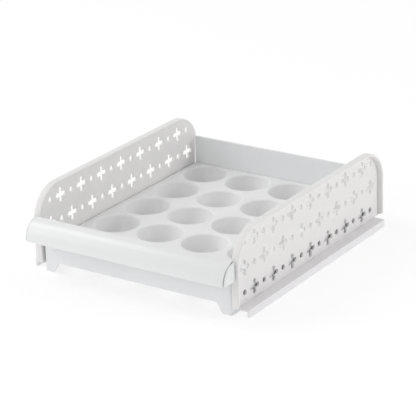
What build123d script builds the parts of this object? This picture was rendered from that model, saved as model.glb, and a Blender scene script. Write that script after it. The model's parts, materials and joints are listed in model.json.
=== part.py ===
from build123d import *
from math import cos, pi, sin
import os

# Egg storage drawer, in millimetres.
# A perforated frame stands on the shelf, a drawer slides out of it towards -Y,
# and a tray of egg cups lifts out of the drawer.
# Z = 0 is the shelf, X = 0 the middle of the width, Y = 0 the middle of the depth.

# Egg cups
cup_pitch = 50.0
cup_columns = 4
cup_rows = 5
cup_mouth_radius = 23.1
cup_lead_in = 1.1
cup_heel_radius = 19.4
cup_heel_depth = 11.5
cup_floor_radius = 13.0
cup_depth = 17.0
cup_outer_mouth_radius = 23.6
cup_outer_floor_radius = 17.6
cup_wall = 1.6
cup_sides = 28
cups_middle_y = 8.5

# Side panels, given for the right-hand one
panel_inner_x = 103.7
panel_wall = 2.3
panel_front = -119.8
panel_rear = 137.7
panel_top = 78.3
panel_corner = 31.5
rim_width = 7.2
rim_wall = 2.2
rim_end_rounding = 2.5
tab_length = 14.0
tab_spacing = 88.0

# Cut pattern of the panels: crosses and dots in three rows
pattern_pitch = 15.9
pattern_columns = 15
pattern_row_spacing = 23.3
pattern_middle_z = 41.2
cross_size = 14.4
cross_arm = 3.9
cross_chamfer = 1.2
dot_radius = 2.4
dot_sides = 10

# Base frame: a rail under each panel and cross members between the rails
rail_top = 7.5
rail_wall = 2.3
rail_front = -113.3
rail_rear = 128.9
rail_outer_x = 117.1
rail_inner_x = 95.2
lip_wall = 2.2
web_outer_x = 101.8
web_wall = 2.2
foot_notch_x = 103.3
foot_notch_rear = -98.4
cross_member_rows = (-84.0, 8.5, 101.0)
cross_member_depth = 16.0
cross_member_top = 6.0
cross_member_wall = 2.2
cross_rib_bottom = 0.8
keeper_wall = 1.8
keeper_rear = -52.0
keeper_hook_x = 99.7

# Drawer
drawer_half_width = 102.4
drawer_front = -117.9
drawer_rear = 135.2
drawer_wall = 2.2
drawer_corner = 3.0
front_wall_top = 50.0
back_wall_top = 53.9
apron_bottom = 10.3
foot_gap = 0.5
foot_depth = 17.6
foot_tip_x = 92.3
foot_slope_x = 86.5
foot_rounding = 3.5
runner_gap = 0.4
runner_wall = 1.8
runner_inner_x = 97.5
stop_front = 124.4
stop_inner_x = 95.7
stop_height = 7.0

# Tray
deck_top = 25.9
deck_wall = 1.9
deck_half_width = 102.6
deck_front = -115.3
deck_rear = 132.6
deck_corner = 2.0

# Handle: a hollow quarter roll with a closing cap at each end
handle_half_length = 106.2
handle_rear = -120.9
handle_depth = 16.8
handle_bottom = 35.8
handle_height = 18.4
handle_wall = 2.2
handle_seat_bottom = 42.0
cap_wall = 2.2
cap_inset = 0.35
cap_spigot = 4.0

# Play where one piece plugs into another, and the reach of joined forms into each other
plug_play = 0.15
overlap = 0.5

panel_middle = (panel_front + panel_rear) / 2
drawer_middle = (drawer_front + drawer_rear) / 2
drawer_length = drawer_rear - drawer_front
skirt_top = deck_top - deck_wall
runner_bottom = rail_top + runner_gap
runner_top = runner_bottom + runner_wall
hook_bottom = runner_top + runner_gap
hook_top = hook_bottom + keeper_wall
tab_places = [panel_middle + step * tab_spacing for step in (-1, 0, 1)]


def block(x0, x1, y0, y1, z0, z1):
    middle = ((x0 + x1) / 2, (y0 + y1) / 2, (z0 + z1) / 2)
    return Pos(*middle) * Box(x1 - x0, y1 - y0, z1 - z0)


def left_of(right_part):
    return mirror(right_part, about=Plane.YZ)


def panel_outline(inset):
    # the side view, with a large radius at both top corners
    length = panel_rear - panel_front - 2 * inset
    height = panel_top - rail_top - inset
    face = Pos(panel_middle, rail_top + height / 2) * Rectangle(length, height)
    top_corners = face.vertices().sort_by(Axis.Y)[2:]
    return fillet(top_corners, panel_corner - inset)


def pattern_holes():
    # the outer rows start with a dot and the middle row with a cross
    arm = Rectangle(cross_size, cross_arm)
    arm = chamfer(arm.vertices(), cross_chamfer)
    cross = arm + Rot(0, 0, 90) * arm
    dot = RegularPolygon(dot_radius, dot_sides)
    holes = []
    for row in (-1, 0, 1):
        for column in range(pattern_columns):
            y = panel_middle + (column - (pattern_columns - 1) / 2) * pattern_pitch
            z = pattern_middle_z + row * pattern_row_spacing
            shape = cross if (column + row) % 2 == 0 else dot
            holes.append(Pos(y, z) * shape)
    return holes


def make_panel():
    inner_face = Plane.YZ.offset(panel_inner_x)
    plate = panel_outline(0)
    for hole in pattern_holes():
        plate -= hole
    panel = extrude(inner_face * plate, panel_wall)
    rim = panel_outline(0) - panel_outline(rim_wall)
    # open at the bottom, where the panel stands on its rail
    rim -= Pos(panel_middle, rail_top) * Rectangle(panel_rear - panel_front - 2 * rim_wall, 2 * rim_wall)
    rim = extrude(inner_face * rim, rim_width)
    rim_ends = rim.edges().filter_by(Axis.Y).group_by(Axis.Z)[0].group_by(Axis.X)[-1]
    panel += fillet(rim_ends, rim_end_rounding)
    # tabs that plug into the rail
    for y in tab_places:
        panel += block(
            panel_inner_x, panel_inner_x + panel_wall,
            y - tab_length / 2, y + tab_length / 2,
            rail_top - rail_wall, rail_top + overlap,
        )
    return panel


def make_rail():
    # channel section open downwards, which also drops over the panel of a unit below
    rail = block(rail_inner_x, rail_outer_x, rail_front, rail_rear, rail_top - rail_wall, rail_top)
    rail += block(rail_outer_x - lip_wall, rail_outer_x, rail_front, rail_rear, 0, rail_top - rail_wall)
    rail += block(
        web_outer_x - web_wall, web_outer_x, foot_notch_rear, rail_rear, 0, rail_top - rail_wall
    )
    rail -= block(rail_inner_x, foot_notch_x, rail_front, foot_notch_rear, 0, rail_top)
    # slots for the panel's tabs
    for y in tab_places:
        rail -= block(
            panel_inner_x - plug_play, panel_inner_x + panel_wall + plug_play,
            y - tab_length / 2 - plug_play, y + tab_length / 2 + plug_play,
            0, rail_top,
        )
    # hook that holds the drawer's runner down
    rail += block(
        rail_inner_x, rail_inner_x + keeper_wall, foot_notch_rear, keeper_rear, rail_top, hook_top
    )
    rail += block(rail_inner_x, keeper_hook_x, foot_notch_rear, keeper_rear, hook_bottom, hook_top)
    return rail


def make_base_frame():
    rail = make_rail()
    frame = rail + left_of(rail)
    reach = web_outer_x - web_wall / 2
    half = cross_member_depth / 2
    for y in cross_member_rows:
        low = cross_member_top - cross_member_wall
        frame += block(-reach, reach, y - half, y + half, low, cross_member_top)
        for side in (-1, 1):
            edge = y + side * (half - cross_member_wall / 2)
            frame += block(
                -reach, reach,
                edge - cross_member_wall / 2, edge + cross_member_wall / 2,
                cross_rib_bottom, low,
            )
    return frame


def make_drawer_box():
    outer = Rectangle(2 * drawer_half_width, drawer_length)
    outer = fillet(outer.vertices(), drawer_corner)
    inner = Rectangle(2 * (drawer_half_width - drawer_wall), drawer_length - 2 * drawer_wall)
    inner = fillet(inner.vertices(), drawer_corner - drawer_wall)
    ring = Pos(0, drawer_middle, foot_gap) * (outer - inner)
    box = extrude(ring, back_wall_top - foot_gap)
    inner_front = drawer_front + drawer_wall
    inner_rear = drawer_rear - drawer_wall
    wide = drawer_half_width + overlap
    # the sides stay low under the tray, and only the front corners reach down as feet
    box -= block(-wide, wide, inner_front, inner_rear, skirt_top, back_wall_top)
    box -= block(-wide, wide, drawer_front - overlap, inner_front, front_wall_top, back_wall_top)
    box -= block(-wide, wide, drawer_front + foot_depth, drawer_rear + overlap, 0, runner_bottom)
    arch = Polygon(
        (-foot_tip_x, 0), (foot_tip_x, 0), (foot_tip_x, foot_gap),
        (foot_slope_x, apron_bottom), (-foot_slope_x, apron_bottom), (-foot_tip_x, foot_gap),
        align=None,
    )
    arch_corners = arch.vertices().group_by(Axis.Y)[-1]
    arch = fillet(arch_corners, foot_rounding)
    box -= extrude(Plane.XZ.offset(-inner_front - overlap) * arch, drawer_wall + 2 * overlap)
    # runners turned inwards along the bottom of the sides, with a stop at their rear ends
    skirt_inner = drawer_half_width - drawer_wall
    runner = block(
        runner_inner_x, skirt_inner + overlap,
        inner_front - overlap, inner_rear + overlap,
        runner_bottom, runner_top,
    )
    runner += block(
        stop_inner_x, skirt_inner + overlap,
        stop_front, inner_rear + overlap,
        runner_bottom, runner_top + stop_height,
    )
    return box + runner + left_of(runner)


def ring_point(radius, depth, side):
    angle = 2 * pi * side / cup_sides
    return (radius * cos(angle), radius * sin(angle), -depth)


def cup_form(*steps):
    # a round form in flats, closed at both ends, given as the radius and depth of each step
    flats = []
    for side in range(cup_sides):
        for upper, lower in zip(steps, steps[1:]):
            corners = (
                ring_point(*upper, side), ring_point(*upper, side + 1),
                ring_point(*lower, side + 1), ring_point(*lower, side),
            )
            flats.append(Face(Wire.make_polygon(corners)))
    for end in (steps[0], steps[-1]):
        flats.append(Face(Wire.make_polygon([ring_point(*end, side) for side in range(cup_sides)])))
    return Solid(Shell(flats))


def make_egg_tray():
    deck = Rectangle(2 * deck_half_width, deck_rear - deck_front)
    deck = fillet(deck.vertices(), deck_corner)
    tray = extrude(Pos(0, (deck_front + deck_rear) / 2, skirt_top) * deck, deck_wall)
    # each cup has a small lead-in at the mouth, a steep wall, and a heel that eases into the floor
    hollow = cup_form(
        (cup_mouth_radius, 0), (cup_mouth_radius - cup_lead_in, cup_lead_in),
        (cup_heel_radius, cup_heel_depth), (cup_floor_radius, cup_depth),
    )
    shell = cup_form(
        (cup_outer_mouth_radius, deck_wall / 2), (cup_outer_floor_radius, cup_depth + cup_wall),
    )
    places = [
        Pos(
            (column - (cup_columns - 1) / 2) * cup_pitch,
            cups_middle_y + (row - (cup_rows - 1) / 2) * cup_pitch,
            deck_top,
        )
        for row in range(cup_rows)
        for column in range(cup_columns)
    ]
    tray = tray + [place * shell for place in places]
    return tray - [place * hollow for place in places]


def quarter_roll(inset):
    # a quarter ellipse in front of the handle's back plane, bulging up and forwards
    full = Ellipse(handle_depth - inset, handle_height - inset)
    corner = Rectangle(handle_depth, handle_height, align=(Align.MAX, Align.MIN))
    return Pos(handle_rear, handle_bottom) * (full & corner)


def make_handle():
    # hollow from below, so that fingers reach up behind the front
    pocket = quarter_roll(handle_wall)
    pocket -= Pos(handle_rear, handle_bottom) * Rectangle(2 * handle_wall, 2 * handle_height)
    section = quarter_roll(0) - pocket
    roll = extrude(Plane.YZ.offset(-handle_half_length) * section, 2 * handle_half_length)
    # pad that sits against the drawer's front wall
    reach = drawer_half_width - drawer_corner
    return roll + block(
        -reach, reach, handle_rear - overlap, drawer_front, handle_seat_bottom, front_wall_top
    )


def make_handle_cap():
    # end plate with a plug that fits the hollow of the roll
    plate = extrude(Plane.YZ.offset(handle_half_length) * quarter_roll(cap_inset), cap_wall)
    plug_inset = handle_wall + plug_play
    plug = quarter_roll(plug_inset)
    plug -= Pos(handle_rear, handle_bottom) * Rectangle(2 * plug_inset, 2 * handle_height)
    return plate + extrude(Plane.YZ.offset(handle_half_length - cap_spigot) * plug, cap_spigot)


panel = make_panel()
cap = make_handle_cap()
nodes = {
    "base_frame": make_base_frame(),
    "right_side_panel": panel,
    "left_side_panel": left_of(panel),
    "drawer_box": make_drawer_box(),
    "egg_tray": make_egg_tray(),
    "front_handle": make_handle(),
    "right_handle_cap": cap,
    "left_handle_cap": left_of(cap),
}

os.makedirs("parts", exist_ok=True)
for name, solid in nodes.items():
    export_step(solid, os.path.join("parts", name + ".step"))
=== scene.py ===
import json
import math

import bpy
import numpy as np
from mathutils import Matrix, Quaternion, Vector

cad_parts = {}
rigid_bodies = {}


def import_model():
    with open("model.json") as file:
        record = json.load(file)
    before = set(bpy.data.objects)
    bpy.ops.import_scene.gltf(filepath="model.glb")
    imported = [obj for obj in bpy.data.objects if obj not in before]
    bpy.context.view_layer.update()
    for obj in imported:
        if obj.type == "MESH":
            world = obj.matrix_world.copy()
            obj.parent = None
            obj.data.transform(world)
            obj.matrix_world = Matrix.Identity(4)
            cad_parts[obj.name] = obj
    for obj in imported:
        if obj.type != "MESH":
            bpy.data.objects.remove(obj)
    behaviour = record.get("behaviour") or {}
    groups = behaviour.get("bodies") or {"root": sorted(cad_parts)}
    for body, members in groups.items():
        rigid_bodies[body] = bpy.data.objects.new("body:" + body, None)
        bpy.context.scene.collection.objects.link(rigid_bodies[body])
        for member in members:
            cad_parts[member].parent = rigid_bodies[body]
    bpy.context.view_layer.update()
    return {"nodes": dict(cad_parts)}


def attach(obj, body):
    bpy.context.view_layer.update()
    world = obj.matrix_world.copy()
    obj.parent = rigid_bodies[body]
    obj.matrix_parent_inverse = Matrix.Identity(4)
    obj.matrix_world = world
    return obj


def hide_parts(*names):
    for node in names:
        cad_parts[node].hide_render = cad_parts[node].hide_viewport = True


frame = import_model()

# Egg storage drawer. Sizes below are millimetres, the meshes are metres.
mm = 0.001
quarterTurn = math.pi / 2
mergeWithin = 0.01 * mm
sides = {"right": 1, "left": -1}  # which way each side piece stands along X


# Mesh helpers: grids of points joined into quads.


def meshObject(name, points, quads, ends=()):
    # points in mm, quads as an array of four indices a row, ends as longer outlines such as end faces
    mesh = bpy.data.meshes.new(name)
    faces = [tuple(face) for face in np.asarray(quads).tolist()] + [tuple(face) for face in ends]
    mesh.from_pydata((np.asarray(points) * mm).tolist(), [], faces)
    mesh.update()
    piece = bpy.data.objects.new(name, mesh)
    bpy.context.scene.collection.objects.link(piece)
    return piece


def gridQuads(rows, columns, closed=False, start=0):
    # quads of a grid of points; closed joins the last column to the first
    last = columns if closed else columns - 1
    r, c = np.meshgrid(np.arange(rows - 1), np.arange(last), indexing="ij")
    a = start + r * columns + c
    b = start + r * columns + (c + 1) % columns
    return np.stack([a, b, b + columns, a + columns], axis=-1).reshape(-1, 4)


def endFaces(rows, columns, start=0):
    # the first and the last ring of a grid, as the two faces that close its ends
    first = start + np.arange(columns)
    return [list(first), list(first + (rows - 1) * columns)[::-1]]


def runOn(piece, operator, **settings):
    # runs one edit mode operator on the whole piece
    view = bpy.context.view_layer
    for other in view.objects:
        other.select_set(False)
    piece.select_set(True)
    view.objects.active = piece
    bpy.ops.object.mode_set(mode="EDIT")
    bpy.ops.mesh.select_all(action="SELECT")
    operator(**settings)
    bpy.ops.object.mode_set(mode="OBJECT")


def mergeAndTurnOut(piece):
    # joins doubled points, then points every face outwards
    runOn(piece, bpy.ops.mesh.remove_doubles, threshold=mergeWithin)
    runOn(piece, bpy.ops.mesh.normals_make_consistent, inside=False)


def smoothBy(piece, angle):
    # smooth shading that keeps edges sharper than the angle, in degrees
    mesh = piece.data
    mesh.shade_smooth()
    mesh.set_sharp_from_angle(angle=math.radians(angle))


def addBevel(piece, width, segments, angle):
    # rounds the edges sharper than the angle, in degrees
    edge = piece.modifiers.new("edge", "BEVEL")
    edge.width = width * mm
    edge.segments = segments
    edge.limit_method = "ANGLE"
    edge.angle_limit = math.radians(angle)
    return edge


def place(piece, body, slot, material, *nodes):
    # the piece's material, its body, and the CAD nodes that it stands for; the slot argument is not used
    piece.data.materials.append(material)
    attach(piece, body)
    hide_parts(*nodes)
    return piece


def roundedSection(points, radius, steps=4):
    # each corner of a closed outline becomes an arc of its radius, which touches both of its sides
    points = np.asarray(points, float)
    radius = np.broadcast_to(np.asarray(radius, float), len(points))[:, None]
    toBefore = np.roll(points, 1, axis=0) - points
    toAfter = np.roll(points, -1, axis=0) - points
    toBefore /= np.linalg.norm(toBefore, axis=1, keepdims=True)
    toAfter /= np.linalg.norm(toAfter, axis=1, keepdims=True)
    half = np.arccos(np.clip((toBefore * toAfter).sum(axis=1, keepdims=True), -1, 1)) / 2
    reach = radius / np.tan(half)
    between = toBefore + toAfter
    between /= np.maximum(np.linalg.norm(between, axis=1, keepdims=True), 1e-9)
    middle = points + between * radius / np.sin(half)
    first = points + toBefore * reach - middle
    last = points + toAfter * reach - middle
    angleFirst = np.arctan2(first[:, 1:], first[:, :1])
    angleLast = np.arctan2(last[:, 1:], last[:, :1])
    sweep = (angleLast - angleFirst + math.pi) % (2 * math.pi) - math.pi
    angles = angleFirst + sweep * np.linspace(0, 1, steps + 1)
    arcs = middle[:, None] + radius[:, None] * np.stack([np.cos(angles), np.sin(angles)], axis=-1)
    # a corner of no radius keeps only one of its equal points
    kept = np.arange(steps + 1) <= np.where(reach > 1e-6, steps, 0)
    return arcs[kept]


def grown(outline, distance):
    # each point of an anticlockwise outline moved outwards along the outline's own normal
    along = np.roll(outline, -1, axis=0) - np.roll(outline, 1, axis=0)
    normal = np.stack([along[:, 1], -along[:, 0]], -1)
    return outline + distance * normal / np.linalg.norm(normal, axis=1, keepdims=True)


def pulledInside(points, centre, directions, radius):
    # points beyond a corner arc, in the quarter that the directions name, are pulled back onto it
    away = points - centre
    beyond = (away * directions > 0).all(axis=-1)
    far = np.linalg.norm(away, axis=-1)
    pull = np.where(beyond & (far > radius), radius / np.maximum(far, 1e-9), 1.0)
    return centre + away * pull[..., None]


def perRing(values, rings):
    # one value for each ring, repeated for all of the ring's points, as their third coordinate
    return np.broadcast_to(np.asarray(values)[:, None, None], rings.shape[:2] + (1,))


def unitRing(sidePoints):
    # a circle of radius 1 from its right rear diagonal, anticlockwise as cellBorder goes
    angle = quarterTurn / 2 + np.arange(4 * sidePoints) * (quarterTurn / sidePoints)
    return np.stack([np.cos(angle), np.sin(angle)], -1)


def cellBorder(low, high, points):
    # points round a rectangle, evenly along each side, from its right rear corner anticlockwise
    s = np.linspace(0, 1, points, endpoint=False)
    (x0, y0), (x1, y1) = low, high
    return np.concatenate([
        np.stack([x1 + (x0 - x1) * s, np.full(points, y1)], -1),
        np.stack([np.full(points, x0), y1 + (y0 - y1) * s], -1),
        np.stack([x0 + (x1 - x0) * s, np.full(points, y0)], -1),
        np.stack([np.full(points, x1), y0 + (y1 - y0) * s], -1),
    ])


def cellLines(count, pitch, middle, low, high):
    # the lines between a row of equal cells, with the outer two moved to the piece's own ends
    lines = middle + (np.arange(count + 1) - count / 2) * pitch
    lines[[0, -1]] = low, high
    return lines


def cellMiddle(index, count, pitch, middle):
    # where the cell of that number has its middle, in a row of equal cells
    return middle + (index - (count - 1) / 2) * pitch


# Materials: moulded plastic with faint flow marks and a fine pebbled skin.

moulding = {
    "flowScale": 28.0, "flowDetail": 3.0, "flowFrom": 0.3, "flowTo": 0.7,
    "cloudScale": 90.0, "cloudDetail": 4.0, "roughnessSpread": 0.05,
    "skinScale": 2200.0, "skinDetail": 2.0, "skinHeight": 0.04,
    "refraction": 1.49, "milkiness": 0.25, "milkDepth": 1.5,
}

plastics = {
    "trayPlastic": {"tone": (0.87, 0.87, 0.87), "deeper": (0.855, 0.855, 0.855), "roughness": 0.5},
    "panelPlastic": {"tone": (0.835, 0.826, 0.822), "deeper": (0.82, 0.811, 0.807), "roughness": 0.52},
    "drawerPlastic": {"tone": (0.85, 0.857, 0.863), "deeper": (0.835, 0.842, 0.848), "roughness": 0.48},
    "handlePlastic": {
        "tone": (0.845, 0.855, 0.855), "deeper": (0.835, 0.845, 0.845), "roughness": 0.32,
        "grain": 0.06, "sheen": 0.5,
    },
    "railPlastic": {"tone": (0.84, 0.828, 0.84), "deeper": (0.825, 0.813, 0.825), "roughness": 0.5},
}


def noiseOn(tree, coordinates, scale, detail):
    # a noise texture in the piece's own coordinates
    noise = tree.nodes.new("ShaderNodeTexNoise")
    noise.inputs["Scale"].default_value = scale
    noise.inputs["Detail"].default_value = detail
    tree.links.new(coordinates.outputs["Object"], noise.inputs["Vector"])
    return noise


def mouldedPlastic(name, m, tone, deeper, roughness, grain=0.12, sheen=0.35):
    # two close tones mixed by soft flow marks, roughness broken up a little, and the skin as a bump
    material = bpy.data.materials.new(name)
    material.use_nodes = True
    tree = material.node_tree
    tree.nodes.clear()
    new, link = tree.nodes.new, tree.links.new
    out = new("ShaderNodeOutputMaterial")
    shader = new("ShaderNodeBsdfPrincipled")
    link(shader.outputs["BSDF"], out.inputs["Surface"])
    coordinates = new("ShaderNodeTexCoord")

    flow = noiseOn(tree, coordinates, m["flowScale"], m["flowDetail"])
    tones = new("ShaderNodeValToRGB")
    tones.color_ramp.elements[0].position = m["flowFrom"]
    tones.color_ramp.elements[0].color = (*deeper, 1)
    tones.color_ramp.elements[1].position = m["flowTo"]
    tones.color_ramp.elements[1].color = (*tone, 1)
    link(flow.outputs["Fac"], tones.inputs["Fac"])
    link(tones.outputs["Color"], shader.inputs["Base Color"])

    cloud = noiseOn(tree, coordinates, m["cloudScale"], m["cloudDetail"])
    spread = new("ShaderNodeMapRange")
    spread.inputs["To Min"].default_value = roughness - m["roughnessSpread"]
    spread.inputs["To Max"].default_value = roughness + m["roughnessSpread"]
    link(cloud.outputs["Fac"], spread.inputs["Value"])
    link(spread.outputs["Result"], shader.inputs["Roughness"])

    skin = noiseOn(tree, coordinates, m["skinScale"], m["skinDetail"])
    bump = new("ShaderNodeBump")
    bump.inputs["Strength"].default_value = grain
    bump.inputs["Distance"].default_value = m["skinHeight"] * mm
    link(skin.outputs["Fac"], bump.inputs["Height"])
    link(bump.outputs["Normal"], shader.inputs["Normal"])

    shader.inputs["Specular IOR Level"].default_value = sheen
    shader.inputs["IOR"].default_value = m["refraction"]
    shader.inputs["Subsurface Weight"].default_value = m["milkiness"]
    shader.inputs["Subsurface Radius"].default_value = (1.0, 1.0, 1.0)
    shader.inputs["Subsurface Scale"].default_value = m["milkDepth"] * mm
    return material


materials = {name: mouldedPlastic(name, moulding, **plastic) for name, plastic in plastics.items()}
print("plastics ready")


# Egg tray: one cell for each cup, tiled into the deck, then given its wall.

tray = {
    "pitch": 50.0, "columns": 4, "rows": 5, "middleX": 0.0, "middleY": 8.5,
    "deckTop": 25.9, "halfWidth": 102.6, "front": -115.3, "rear": 132.6, "cornerRadius": 2.0,
    "mouthRadius": 23.6, "mouthRounding": 2.2, "mouthTurn": 84,
    "heelRadius": 19.0, "heelDepth": 13.0, "floorRadius": 15.5, "depth": 17.0, "wall": 1.5,
    "mouthSteps": 8, "wallSteps": 4, "heelSteps": 8, "deckSteps": 3, "sidePoints": 20,
    "edge": 0.45, "edgeSegments": 3, "edgeAngle": 60, "smoothAngle": 40,
}


def cupLine(t):
    # radius and depth below the deck along a cup's half section: an arc over the mouth, a straight
    # and slightly leaning wall, a quarter ellipse round the heel, and the flat floor to the middle
    mouth = np.linspace(0, math.radians(t["mouthTurn"]), t["mouthSteps"] + 1)
    mouthRadius = t["mouthRadius"] - t["mouthRounding"] * np.sin(mouth)
    mouthDepth = t["mouthRounding"] * (1 - np.cos(mouth))
    wall = np.linspace(0, 1, t["wallSteps"] + 1)[1:]
    wallRadius = mouthRadius[-1] + (t["heelRadius"] - mouthRadius[-1]) * wall
    wallDepth = mouthDepth[-1] + (t["heelDepth"] - mouthDepth[-1]) * wall
    heel = np.linspace(0, quarterTurn, t["heelSteps"] + 1)[1:]
    heelRadius = t["floorRadius"] + (t["heelRadius"] - t["floorRadius"]) * np.cos(heel)
    heelDepth = t["heelDepth"] + (t["depth"] - t["heelDepth"]) * np.sin(heel)
    floorRadius = np.array([0.5, 0.0]) * t["floorRadius"]
    floorDepth = np.full(len(floorRadius), t["depth"])
    radius = np.concatenate([mouthRadius, wallRadius, heelRadius, floorRadius])
    depth = np.concatenate([mouthDepth, wallDepth, heelDepth, floorDepth])
    return radius, depth


def roundedDeck(border, t):
    # keeps a cell's border within the deck's four small corner arcs
    for side in (-1, 1):
        arcX = side * (t["halfWidth"] - t["cornerRadius"])
        arcFront = (arcX, t["front"] + t["cornerRadius"])
        arcRear = (arcX, t["rear"] - t["cornerRadius"])
        border = pulledInside(border, arcFront, (side, -1), t["cornerRadius"])
        border = pulledInside(border, arcRear, (side, 1), t["cornerRadius"])
    return border


def makeTray(t):
    # in each cell, straight lines from the border to the mouth, then the cup's line turned into rings
    radius, depth = cupLine(t)
    around = unitRing(t["sidePoints"])
    edgesX = cellLines(t["columns"], t["pitch"], t["middleX"], -t["halfWidth"], t["halfWidth"])
    edgesY = cellLines(t["rows"], t["pitch"], t["middleY"], t["front"], t["rear"])
    blend = np.linspace(0, 1, t["deckSteps"] + 1)[:-1, None, None]
    points, quads, count = [], [], 0
    for row, column in np.ndindex(t["rows"], t["columns"]):
        middle = np.array([
            cellMiddle(column, t["columns"], t["pitch"], t["middleX"]),
            cellMiddle(row, t["rows"], t["pitch"], t["middleY"]),
        ])
        low, high = (edgesX[column], edgesY[row]), (edgesX[column + 1], edgesY[row + 1])
        border = roundedDeck(cellBorder(low, high, t["sidePoints"]), t)
        mouth = middle + around * radius[0]
        deck = border + (mouth - border) * blend
        rings = np.concatenate([deck, middle + around * radius[:, None, None]])
        height = np.concatenate([np.full(len(deck), t["deckTop"]), t["deckTop"] - depth])
        points.append(np.concatenate([rings, perRing(height, rings)], -1).reshape(-1, 3))
        quads.append(gridQuads(len(rings), len(around), closed=True, start=count))
        count += len(rings) * len(around)
    piece = meshObject("eggTray", np.concatenate(points), np.concatenate(quads))
    mergeAndTurnOut(piece)
    if piece.data.polygons[0].normal.z < 0:
        piece.data.flip_normals()  # the deck faces up, so that the wall grows downwards
    solid = piece.modifiers.new("wall", "SOLIDIFY")
    solid.thickness = t["wall"] * mm
    solid.offset = -1
    addBevel(piece, t["edge"], t["edgeSegments"], t["edgeAngle"])
    smoothBy(piece, t["smoothAngle"])
    return piece


place(makeTray(tray), "tray", "tray_white", materials["trayPlastic"], "egg_tray")
print("tray made")


# Side panels: a plate of cells, each with a cut cross or dot, inside a rim that stands outwards.

panel = {
    "innerX": 103.7, "wall": 2.3, "front": -119.8, "rear": 137.7, "bottom": 7.5, "top": 78.3,
    "corner": 31.5, "rimWidth": 7.2, "rimWall": 2.2, "rimOverlap": 0.05,
    "rimRounding": 0.7, "rimInnerRounding": 0.49, "rimEndRounding": 4.5, "rimSteps": 24,
    "pitch": 15.9, "columns": 15, "rows": 3, "rowSpacing": 23.3, "middleZ": 41.2,
    "crossReach": 7.4, "armRoot": 2.05, "armMiddle": 3.5, "armTip": 2.4, "dotRadius": 2.7, "sidePoints": 14,
    "edge": 0.4, "edgeSteps": 3, "nearShare": 0.35,
    "tabLow": 5.2, "tabLength": 14.0, "tabSpacing": 88.0, "tabInset": 0.02, "tabSunk": 0.3,
    "smoothAngle": 35,
}


def crossOutline(p):
    # quarter by quarter: out along an arm that widens a little, half round its tip, and back in
    root, tip = p["armRoot"], p["armTip"]
    out = np.array([[root, root], [(root + tip) / 2, p["armMiddle"]]])
    back = out[1:] * (-1, 1)
    angle = np.linspace(0, math.pi, p["sidePoints"] - len(out) - len(back))
    end = np.stack([tip * np.cos(angle), p["crossReach"] - tip + tip * np.sin(angle)], -1)
    arm = np.concatenate([out, end, back])
    c, s = np.cos(np.arange(4) * quarterTurn), np.sin(np.arange(4) * quarterTurn)
    turns = np.stack([np.stack([c, s], -1), np.stack([-s, c], -1)], -2)
    return (arm @ turns).reshape(-1, 2)


def insideOutline(points, p):
    # keeps the plate's outline within the rim's two large top corners
    radius = p["corner"] - p["rimWall"] + p["rimOverlap"]
    middleZ = p["top"] - p["corner"]
    points = pulledInside(points, (p["front"] + p["corner"], middleZ), (-1, 1), radius)
    return pulledInside(points, (p["rear"] - p["corner"], middleZ), (1, 1), radius)


def outerSides(row, column, p):
    # a cell's sides that lie on the plate's outline: 0 top, 1 front, 2 bottom, 3 rear
    found = {0: row == p["rows"] - 1, 1: column == 0, 2: row == 0, 3: column == p["columns"] - 1}
    return [side for side in found if found[side]]


def edgeQuads(side, sidePoints, rings, start):
    # joins a cell's first ring to its last one along one side, which closes the plate's edge
    around = 4 * sidePoints
    k = side * sidePoints + np.arange(sidePoints)
    after = (k + 1) % around
    last = start + (rings - 1) * around
    return np.stack([start + k, start + after, last + after, last + k], axis=-1)


def makePlate(p):
    # in each cell, rings from the border over the outer face, round the hole's soft edge, through
    # the wall, round the other edge, and back over the inner face to the border
    middleY, inset = (p["front"] + p["rear"]) / 2, p["rimWall"] - p["rimOverlap"]
    columnsY = cellLines(p["columns"], p["pitch"], middleY, p["front"] + inset, p["rear"] - inset)
    rowsZ = cellLines(p["rows"], p["rowSpacing"], p["middleZ"], p["bottom"], p["top"] - inset)
    cross, dot = crossOutline(p), p["dotRadius"] * unitRing(p["sidePoints"])
    turn = np.linspace(0, quarterTurn, p["edgeSteps"] + 1)
    growth = p["edge"] * (1 - np.sin(turn))
    growth = np.concatenate([growth, growth[::-1]])
    rise = p["wall"] - p["edge"] * (1 - np.cos(turn))
    across = np.concatenate([[p["wall"]] * 2, rise, p["wall"] - rise[::-1], [0.0] * 2])
    points, quads, count = [], [], 0
    for row, column in np.ndindex(p["rows"], p["columns"]):
        hole = cross if (column + row) % 2 else dot
        middle = np.array([
            cellMiddle(column, p["columns"], p["pitch"], middleY),
            cellMiddle(row, p["rows"], p["rowSpacing"], p["middleZ"]),
        ])
        low, high = (columnsY[column], rowsZ[row]), (columnsY[column + 1], rowsZ[row + 1])
        border = insideOutline(cellBorder(low, high, p["sidePoints"]), p)
        holeRings = np.stack([middle + grown(hole, distance) for distance in growth])
        near = holeRings[0] + (border - holeRings[0]) * p["nearShare"]
        rings = np.concatenate([border[None], near[None], holeRings, near[None], border[None]])
        x = perRing(across, rings) + p["innerX"]
        points.append(np.concatenate([x, rings], -1).reshape(-1, 3))
        quads.append(gridQuads(len(rings), rings.shape[1], closed=True, start=count))
        for side in outerSides(row, column, p):
            quads.append(edgeQuads(side, p["sidePoints"], len(rings), count))
        count += len(rings) * rings.shape[1]
    return np.concatenate(points), np.concatenate(quads)


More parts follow.
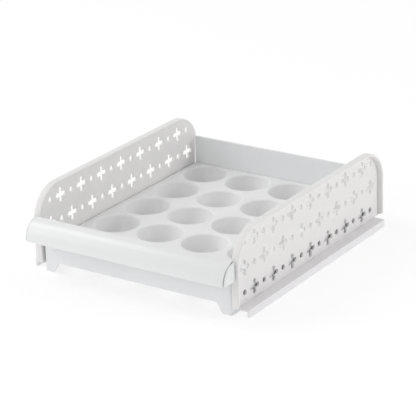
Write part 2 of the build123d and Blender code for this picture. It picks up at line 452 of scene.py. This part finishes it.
def makeRim(p, start):
    # a rounded strip carried up the front edge, over both corner arcs and down the rear edge
    radius, low = p["corner"], p["bottom"]
    angle = np.linspace(0, quarterTurn, p["rimSteps"] + 1)
    c, s = np.cos(angle), np.sin(angle)
    frontArc = np.stack([p["front"] + radius - radius * c, p["top"] - radius + radius * s], -1)
    rearArc = np.stack([p["rear"] - radius + radius * s, p["top"] - radius + radius * c], -1)
    path = np.concatenate([[[p["front"], low]], frontArc, rearArc, [[p["rear"], low]]])
    inward = np.concatenate([
        [[1.0, 0.0]], np.stack([c, -s], -1), np.stack([-s, -c], -1), [[-1.0, 0.0]],
    ])
    section = roundedSection(
        [(0, 0), (0, p["rimWidth"]), (p["rimWall"], p["rimWidth"]), (p["rimWall"], 0)],
        (p["rimInnerRounding"], p["rimRounding"], p["rimRounding"], 0),
    )
    flat = path[:, None] + inward[:, None] * section[None, :, :1]
    x = np.broadcast_to(section[None, :, 1:] + p["innerX"], flat.shape[:2] + (1,))
    # the two lower ends are rounded towards the outside
    beyond = np.clip(section[:, 1] - (p["rimWidth"] - p["rimEndRounding"]), 0, None)
    lift = p["rimEndRounding"] - np.sqrt(np.maximum(p["rimEndRounding"] ** 2 - beyond ** 2, 0))
    flat[[0, -1], :, 1] += lift
    rows, columns = flat.shape[:2]
    quads = gridQuads(rows, columns, closed=True, start=start)
    return np.concatenate([x, flat], -1).reshape(-1, 3), quads, endFaces(rows, columns, start)


def makeTabs(p, start):
    # three plain tabs under the plate, which plug into the rail
    low, high = p["tabLow"], p["bottom"] + p["tabSunk"]
    inner, outer = p["innerX"] + p["tabInset"], p["innerX"] + p["wall"] - p["tabInset"]
    half = p["tabLength"] / 2
    ring = [(inner, -half), (outer, -half), (outer, half), (inner, half)]
    corners = np.array([[x, y, z] for z in (low, high) for x, y in ring])
    box = np.array([[0, 1, 2, 3], [4, 7, 6, 5], [0, 4, 5, 1], [1, 5, 6, 2], [2, 6, 7, 3], [3, 7, 4, 0]])
    middles = (p["front"] + p["rear"]) / 2 + np.array([-1, 0, 1]) * p["tabSpacing"]
    points = np.concatenate([corners + (0, middle, 0) for middle in middles])
    quads = np.concatenate([box + start + len(corners) * k for k in range(len(middles))])
    return points, quads


def makePanel(name, p, side):
    # plate, rim and tabs as one piece, mirrored for the left side
    platePoints, plateQuads = makePlate(p)
    rimPoints, rimQuads, rimEnds = makeRim(p, len(platePoints))
    tabPoints, tabQuads = makeTabs(p, len(platePoints) + len(rimPoints))
    points = np.concatenate([platePoints, rimPoints, tabPoints]) * (side, 1, 1)
    piece = meshObject(name, points, np.concatenate([plateQuads, rimQuads, tabQuads]), rimEnds)
    mergeAndTurnOut(piece)
    smoothBy(piece, p["smoothAngle"])
    return piece


for word, side in sides.items():
    sidePanel = makePanel(word + "SidePanel", panel, side)
    place(sidePanel, "frame", "panel_white", materials["panelPlastic"], word + "_side_panel")
print("side panels made")


# Handle: a hollow quarter roll with a D-shaped cap at each end.

handle = {
    "halfLength": 106.2, "rear": -120.9, "depth": 16.8, "bottom": 35.8, "height": 18.4, "wall": 2.2,
    "curvePoints": 26, "lipPoints": 9, "lipShare": 0.8, "endRounding": 1.1, "roundingSteps": 4,
    "seatBottom": 42.0, "seatTop": 50.0, "seatHalf": 99.4, "seatRounding": 1.5, "seatSunk": 0.5,
    "front": -117.9, "smoothAngle": 35,
}
cap = {
    "wall": 2.2, "inset": 0.9, "rounding": 1.0, "cornerRounding": 0.6, "curvePoints": 24,
    "middleShare": (0.42, 0.4), "faceShares": (0.0, 0.4, 0.8),
    "plugLength": 4.0, "plugPlay": 0.15, "plugSunk": 0.3, "plugPoints": 18,
}


def quarterEllipse(depth, height, angle):
    # from the top of the curve, where the angle is 0, down to its front
    return np.stack([-depth * np.sin(angle), height * np.cos(angle)], -1)


def rollSection(h):
    # down the outer quarter ellipse, round the front lip, back up the inner one, and the rear wall
    outer = quarterEllipse(h["depth"], h["height"], np.linspace(0, quarterTurn, h["curvePoints"]))
    lip = np.linspace(0, math.pi, h["lipPoints"])[1:-1]
    half = h["wall"] / 2
    lipLine = np.stack([half - h["depth"] - half * np.cos(lip), -half * h["lipShare"] * np.sin(lip)], -1)
    depth, height = h["depth"] - h["wall"], h["height"] - h["wall"]
    rearAngle = math.asin(h["wall"] / depth)
    inner = quarterEllipse(depth, height, np.linspace(quarterTurn, rearAngle, h["curvePoints"]))
    rearFoot = np.array([[-h["wall"], 0.0], [0.0, 0.0]])
    return np.concatenate([outer, lipLine, inner, rearFoot]) + (h["rear"], h["bottom"])


def makeRoll(h):
    # the section carried along X and drawn in over a small arc at both ends
    section = rollSection(h)
    turn = np.linspace(0, quarterTurn, h["roundingSteps"] + 1)
    back, drawnIn = h["endRounding"] * (1 - np.cos(turn)), h["endRounding"] * (1 - np.sin(turn))
    stations = np.concatenate([back - h["halfLength"], h["halfLength"] - back[::-1]])
    rings = np.stack([grown(section, -distance) for distance in np.concatenate([drawnIn, drawnIn[::-1]])])
    points = np.concatenate([perRing(stations, rings), rings], -1).reshape(-1, 3)
    rows, columns = rings.shape[:2]
    return points, gridQuads(rows, columns, closed=True), endFaces(rows, columns)


def makePad(h, start):
    # the pad between the roll and the drawer's front wall, a rounded rectangle carried along Y
    half, low, high = h["seatHalf"], h["seatBottom"], h["seatTop"]
    pad = roundedSection([(-half, low), (half, low), (half, high), (-half, high)], h["seatRounding"])
    depths = h["rear"] - h["seatSunk"], h["front"]
    points = np.concatenate([np.insert(pad, 1, y, axis=1) for y in depths])
    return points, gridQuads(2, len(pad), closed=True, start=start), endFaces(2, len(pad), start)


def makeHandle(h):
    # roll and pad as one piece
    points, quads, ends = makeRoll(h)
    padPoints, padQuads, padEnds = makePad(h, len(points))
    points, quads = np.concatenate([points, padPoints]), np.concatenate([quads, padQuads])
    piece = meshObject("frontHandle", points, quads, ends + padEnds)
    mergeAndTurnOut(piece)
    smoothBy(piece, h["smoothAngle"])
    return piece


def makePlug(h, c, side, start):
    # the plug behind the plate: a smaller quarter ellipse, cut off in front of the roll's rear wall
    inset = h["wall"] + c["plugPlay"]
    depth, height = h["depth"] - inset, h["height"] - inset
    angle = np.linspace(math.asin(inset / depth), quarterTurn, c["plugPoints"])
    outline = np.concatenate([quarterEllipse(depth, height, angle), [[-inset, 0.0]]])
    outline += (h["rear"], h["bottom"])
    stations = np.array([h["halfLength"] - c["plugLength"], h["halfLength"] + c["plugSunk"]]) * side
    points = np.concatenate([np.insert(outline, 0, x, axis=1) for x in stations])
    n = len(outline)
    return points, gridQuads(2, n, closed=True, start=start), endFaces(2, n, start)


def makeCap(name, h, c, side):
    # D-shaped plate: rings from the middle to the rim, over both rounded edges and back to the middle
    depth, height = h["depth"] - c["inset"], h["height"] - c["inset"]
    curve = quarterEllipse(depth, height, np.linspace(0, quarterTurn, c["curvePoints"]))
    radius = np.zeros(len(curve) + 1)
    radius[[0, -2, -1]] = c["cornerRounding"]
    outline = roundedSection(np.concatenate([curve, [[0.0, 0.0]]]), radius)
    middle = np.array([-depth, height]) * c["middleShare"]
    turn = np.linspace(0, quarterTurn, h["roundingSteps"] + 1)
    falling, rising = c["rounding"] * (1 - np.sin(turn)), c["rounding"] * (1 - np.cos(turn))
    rim = np.stack([grown(outline, -distance) for distance in np.concatenate([falling, rising])])
    shares = np.array(c["faceShares"])[:, None, None]
    outerFace = middle + (rim[0] - middle) * shares
    innerFace = middle + (rim[-1] - middle) * shares[::-1]
    rings = np.concatenate([outerFace, rim, innerFace])
    flatRings = len(shares)
    across = np.concatenate([[c["wall"]] * flatRings, c["wall"] - rising, falling, [0.0] * flatRings])
    x = perRing((across + h["halfLength"]) * side, rings)
    points = np.concatenate([x, rings + (h["rear"], h["bottom"])], -1).reshape(-1, 3)
    quads = gridQuads(len(rings), rings.shape[1], closed=True)
    plugPoints, plugQuads, plugEnds = makePlug(h, c, side, len(points))
    points, quads = np.concatenate([points, plugPoints]), np.concatenate([quads, plugQuads])
    piece = meshObject(name, points, quads, plugEnds)
    mergeAndTurnOut(piece)
    smoothBy(piece, h["smoothAngle"])
    return piece


place(makeHandle(handle), "drawer", "handle_white", materials["handlePlastic"], "front_handle")
for word, side in sides.items():
    handleCap = makeCap(word + "HandleCap", handle, cap, side)
    place(handleCap, "drawer", "handle_white", materials["handlePlastic"], word + "_handle_cap")
print("handle made")


# Drawer box and base frame: merged copies of the CAD solids with softened edges.

softEdges = {"flatAngle": 1, "smoothAngle": 35, "width": 0.45, "segments": 2, "edgeAngle": 35}


def softCopy(node, name, e):
    # the node's mesh with its points merged, its flat faces joined and its edges rounded a little
    mesh = frame["nodes"][node].data.copy()
    piece = bpy.data.objects.new(name, mesh)
    bpy.context.scene.collection.objects.link(piece)
    mesh.materials.clear()
    runOn(piece, bpy.ops.mesh.remove_doubles, threshold=mergeWithin)
    runOn(piece, bpy.ops.mesh.dissolve_limited, angle_limit=math.radians(e["flatAngle"]))
    smoothBy(piece, e["smoothAngle"])
    bevel = addBevel(piece, e["width"], e["segments"], e["edgeAngle"])
    bevel.harden_normals = True
    return piece


drawerBox = softCopy("drawer_box", "drawerBox", softEdges)
place(drawerBox, "drawer", "drawer_white", materials["drawerPlastic"], "drawer_box")
baseFrame = softCopy("base_frame", "baseFrame", softEdges)
place(baseFrame, "frame", "frame_white", materials["railPlastic"], "base_frame")
print("drawer and base made")


# Floor, light and camera, in metres, degrees and watts.

floor = {"half": 6.0, "height": -0.0002, "tone": 0.3, "glow": 0.73, "roughness": 0.9}
sky = {
    "strength": 0.7, "darkStrength": 0.3, "darkAzimuth": 34.0, "darkElevation": 10.0,
    "fallFrom": 0.2, "fallTo": 0.9,
}
lamps = {
    # each softbox as azimuth, elevation, side and power
    "aim": (0, 0, 0.03), "away": 2.6,
    "softboxes": {
        "leftBox": (303, 24, 1.0, 8.0), "keyBox": (284, 48, 1.0, 14.0),
        "rightBox": (113, 20, 1.0, 14.0), "frontBox": (0, 28, 1.2, 9.0),
    },
}
eye = {
    "azimuth": 34.13, "elevation": 21.41, "roll": 1.81, "lens": 168.4, "sensor": 36,
    "place": (0.94772, -1.39727, 0.70303), "farthest": 50,
}


def addFloor(f):
    # pale paper that gives a little light of its own, just under the feet
    half, z = f["half"], f["height"]
    corners = np.array([[-half, -half, z], [half, -half, z], [half, half, z], [-half, half, z]]) / mm
    sheet = meshObject("floor", corners, [[0, 1, 2, 3]])
    paper = bpy.data.materials.new("paleFloor")
    paper.use_nodes = True
    shader = paper.node_tree.nodes["Principled BSDF"]
    shader.inputs["Base Color"].default_value = (f["tone"],) * 3 + (1,)
    shader.inputs["Roughness"].default_value = f["roughness"]
    shader.inputs["Specular IOR Level"].default_value = 0.0
    shader.inputs["Emission Color"].default_value = (1, 1, 1, 1)
    shader.inputs["Emission Strength"].default_value = f["glow"]
    sheet.data.materials.append(paper)


def directionTo(azimuth, elevation):
    # unit vector from the object, azimuth 0 in front of it and 90 to its right
    a, up = math.radians(azimuth), math.radians(elevation)
    return Vector((math.sin(a) * math.cos(up), -math.cos(a) * math.cos(up), math.sin(up)))


def addSoftbox(name, settings, azimuth, elevation, side, power):
    # a square lamp on a sphere round the object, turned towards it
    light = bpy.data.lights.new(name, "AREA")
    light.shape = "SQUARE"
    light.size = side
    light.energy = power
    lamp = bpy.data.objects.new(name, light)
    bpy.context.scene.collection.objects.link(lamp)
    out = directionTo(azimuth, elevation)
    lamp.location = Vector(settings["aim"]) + out * settings["away"]
    lamp.rotation_mode = "QUATERNION"
    lamp.rotation_quaternion = (-out).to_track_quat("-Z", "Y")


def addSky(s):
    # an even white tent that falls off to grey on the side where the studio is open
    world = bpy.data.worlds.new("studio")
    world.use_nodes = True
    tree = world.node_tree
    tent = tree.nodes["Background"]
    tent.inputs["Color"].default_value = (1, 1, 1, 1)
    look = tree.nodes.new("ShaderNodeTexCoord")
    facing = tree.nodes.new("ShaderNodeVectorMath")
    facing.operation = "DOT_PRODUCT"
    facing.inputs[1].default_value = directionTo(s["darkAzimuth"], s["darkElevation"])
    fall = tree.nodes.new("ShaderNodeMapRange")
    fall.inputs["From Min"].default_value = s["fallFrom"]
    fall.inputs["From Max"].default_value = s["fallTo"]
    fall.inputs["To Min"].default_value = s["strength"]
    fall.inputs["To Max"].default_value = s["darkStrength"]
    tree.links.new(look.outputs["Generated"], facing.inputs[0])
    tree.links.new(facing.outputs["Value"], fall.inputs["Value"])
    tree.links.new(fall.outputs["Result"], tent.inputs["Strength"])
    bpy.context.scene.world = world


def addCamera(e):
    # the photograph's view: well back with a long lens, leaning a little
    camera = bpy.data.objects.new("camera", bpy.data.cameras.new("camera"))
    bpy.context.scene.collection.objects.link(camera)
    camera.data.lens = e["lens"]
    camera.data.sensor_width = e["sensor"]
    camera.data.clip_end = e["farthest"]
    back = directionTo(e["azimuth"], e["elevation"])
    lean = Quaternion((0, 0, 1), -math.radians(e["roll"]))
    camera.rotation_mode = "QUATERNION"
    camera.rotation_quaternion = (-back).to_track_quat("-Z", "Y") @ lean
    camera.location = e["place"]
    bpy.context.scene.camera = camera


addFloor(floor)
addSky(sky)
for name, softbox in lamps["softboxes"].items():
    addSoftbox(name, lamps, *softbox)
addCamera(eye)
bpy.context.scene.view_settings.view_transform = "Standard"
print("studio ready")
